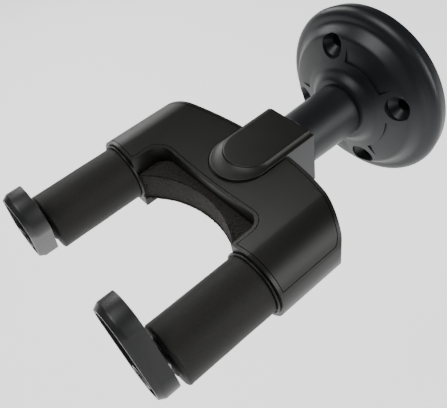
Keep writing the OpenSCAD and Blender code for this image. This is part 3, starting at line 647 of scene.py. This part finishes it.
class HANGER_OT_sleeves(bpy.types.Operator):
    """Models the foam sleeves as thick, slightly uneven tubes with soft ends."""

    bl_idname = "hanger.sleeves"
    bl_label = "Foam sleeves"

    def execute(self, context):
        sizes = context.scene.hanger_sizes
        for side in SIDES:
            node = f"foam_sleeve_{side}"
            centre, span = node_span(node)
            outer = span.x / 2
            bore = node_span(f"arm_tube_{side}")[1].x / 2
            deselect_all()
            bpy.ops.mesh.primitive_cylinder_add(
                vertices=SLEEVE_SIDES, radius=outer, depth=span.y, location=centre, rotation=(math.pi / 2, 0.0, 0.0),
            )
            piece = context.active_object
            piece.name = f"sleeve_foam_{side}"
            settle(piece)
            pick(piece, lambda face: abs(face.normal.y) > 0.9)
            bpy.ops.mesh.inset(thickness=outer - bore, use_even_offset=True)
            bpy.ops.mesh.bridge_edge_loops()
            done()
            self.check_bore(piece, centre, bore)

            def long_edge(e):
                a, b = (v.co for v in e.verts)
                return abs(a.y - b.y) > span.y * 0.9

            pick(piece, long_edge, "EDGE")
            bpy.ops.mesh.subdivide(number_cuts=SLEEVE_CUTS)
            done()

            def rim(e):
                ends = [v.co for v in e.verts]
                flat = all(abs(abs(p.y - centre.y) - span.y / 2) < 1e-6 for p in ends)
                return flat and all(math.hypot(p.x - centre.x, p.z - centre.z) > outer * 0.98 for p in ends)

            pick(piece, rim, "EDGE")
            bpy.ops.mesh.bevel(offset=sizes.sleeve_edge, segments=5, profile=0.5)
            bpy.ops.mesh.select_all(action="SELECT")
            bpy.ops.mesh.normals_make_consistent(inside=False)
            done()
            uneven(piece, f"sleeve_waves_{side}", 9 * MM, sizes.sleeve_waviness, 3)
            smooth(piece, 50)
            dress(piece, finish_of(context, "sleeve_foam"), "yoke", "sleeve_foam", node)
        return {"FINISHED"}

    def check_bore(self, piece, centre, bore):
        near = min(math.hypot(v.co.x - centre.x, v.co.z - centre.z) for v in piece.data.vertices)
        if abs(near - bore) > 0.1 * MM:
            raise RuntimeError(f"{piece.name}: the bore came to {near:.5f} m instead of {bore:.5f} m")


class HANGER_OT_pad(bpy.types.Operator):
    """Models the foam pad in the throat: cut foam with soft edges and open pores."""

    bl_idname = "hanger.pad"
    bl_label = "Foam pad"

    def execute(self, context):
        sizes = context.scene.hanger_sizes
        low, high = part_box("neck_pad")
        deselect_all()
        bpy.ops.mesh.primitive_grid_add(
            x_subdivisions=PAD_COLUMNS, y_subdivisions=PAD_ROWS, size=1.0, location=(0, 0, 0),
        )
        piece = context.active_object
        piece.name = "throat_pad"
        half_w = high.x
        middle_y = -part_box("neck_pad")[1].y
        front_middle = self.front_middle()
        for vertex in piece.data.vertices:
            x = vertex.co.x * 2 * half_w
            share = vertex.co.y + 0.5
            past = max(0.0, abs(x) - (half_w - PAD_CORNER))
            rear = middle_y + PAD_CORNER - math.sqrt(max(0.0, PAD_CORNER * PAD_CORNER - past * past))
            front = front_middle + PAD_HOLLOW - math.sqrt(PAD_HOLLOW * PAD_HOLLOW - x * x)
            front = min(front, -low.y)
            vertex.co = (x, -(front + (rear - front) * share), high.z)
        edit(piece)
        bpy.ops.mesh.select_all(action="SELECT")
        bpy.ops.mesh.extrude_region_move(TRANSFORM_OT_translate={"value": (0.0, 0.0, low.z - high.z)})
        done()
        pick(piece, lambda e: abs(e.verts[0].co.z - e.verts[1].co.z) > 5 * MM, "EDGE")
        bpy.ops.mesh.subdivide(number_cuts=PAD_CUTS)
        done()

        def rim(e):
            return len(e.link_faces) == 2 and e.calc_face_angle(0.0) > math.radians(60)

        pick(piece, rim, "EDGE")
        bpy.ops.mesh.bevel(offset=sizes.pad_crown, segments=3, profile=0.5)
        bpy.ops.mesh.select_all(action="SELECT")
        bpy.ops.mesh.remove_doubles(threshold=0.02 * MM)
        bpy.ops.mesh.normals_make_consistent(inside=False)
        done()
        uneven(piece, "pad_swell", 7 * MM, sizes.pad_roughness, 1)
        uneven(piece, "pad_pores", 0.9 * MM, sizes.pad_roughness * 0.8, 2)
        smooth(piece, 70)
        dress(piece, finish_of(context, "pad_foam"), "yoke", "pad_foam", "neck_pad")
        return {"FINISHED"}

    def front_middle(self):
        """Depth of the pad's hollow front in the middle, from the node's own mesh."""
        near = [v.co.y for v in frame["nodes"]["neck_pad"].data.vertices if abs(v.co.x) < 6 * MM]
        return -min(near)


class HANGER_OT_stops(bpy.types.Operator):
    """Finishes the two turning stops."""

    bl_idname = "hanger.stops"
    bl_label = "Stops"

    def execute(self, context):
        edge = context.scene.hanger_sizes.edge
        for side in SIDES:
            finished_copy(context, f"stop_{side}", f"end_stop_{side}", edge, 30.0)
        return {"FINISHED"}


class HANGER_OT_hardware(bpy.types.Operator):
    """Gives every part that is still shown as built its own finish."""

    bl_idname = "hanger.hardware"
    bl_label = "Screws, rods and springs"

    def execute(self, context):
        for name, node in frame["nodes"].items():
            if node.hide_render:
                continue
            finish = finish_of(context, SLOT_OF[name])
            node.data.materials.clear()
            node.data.materials.append(finish)
        return {"FINISHED"}


class HANGER_PT_panel(bpy.types.Panel):
    """Lists the hanger's pieces, sizes and colours."""

    bl_label = "Wall guitar hanger"
    bl_idname = "HANGER_PT_panel"
    bl_space_type = "VIEW_3D"
    bl_region_type = "UI"
    bl_category = "Hanger"

    def draw(self, context):
        layout = self.layout
        for group in (context.scene.hanger_sizes, context.scene.hanger_colours):
            column = layout.column(align=True)
            for name in group.__annotations__:
                column.prop(group, name)
        for operator in STEPS:
            layout.operator(operator.bl_idname)


STEPS = (
    HANGER_OT_stage, HANGER_OT_base, HANGER_OT_block, HANGER_OT_housing,
    HANGER_OT_sleeves, HANGER_OT_pad, HANGER_OT_stops, HANGER_OT_hardware,
)
CLASSES = (HangerSizes, HangerColours, *STEPS, HANGER_PT_panel)

CAMERA_PLACE = (0.1271, -0.1673, 0.1617)
CAMERA_ANGLES = (58.17, 48.07, -11.98)
CAMERA_LENS = 44.94
CAMERA_SENSOR = 36.0
FLOOR_GLOW = 1.25
WORLD_STRENGTH = 0.05
LIGHTS = (
    ("overhead_softbox", (-0.10, -0.45, 0.90), 0.5, 0.5, 6.5),
    ("left_softbox", (-0.85, 0.10, 0.40), 0.35, 0.6, 4.5),
    ("right_softbox", (0.80, 0.25, 0.35), 0.35, 0.6, 6.0),
)


def register():
    """Adds the classes and their settings."""
    for made in CLASSES:
        bpy.utils.register_class(made)
    bpy.types.Scene.hanger_sizes = PointerProperty(type=HangerSizes)
    bpy.types.Scene.hanger_colours = PointerProperty(type=HangerColours)


def unregister():
    """Removes what register added."""
    del bpy.types.Scene.hanger_sizes
    del bpy.types.Scene.hanger_colours
    for made in reversed(CLASSES):
        bpy.utils.unregister_class(made)


def main():
    """Registers the add-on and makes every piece."""
    register()
    for step in STEPS:
        group, name = step.bl_idname.split(".")
        getattr(getattr(bpy.ops, group), name)()
    deselect_all()


if __name__ == "__main__":
    main()
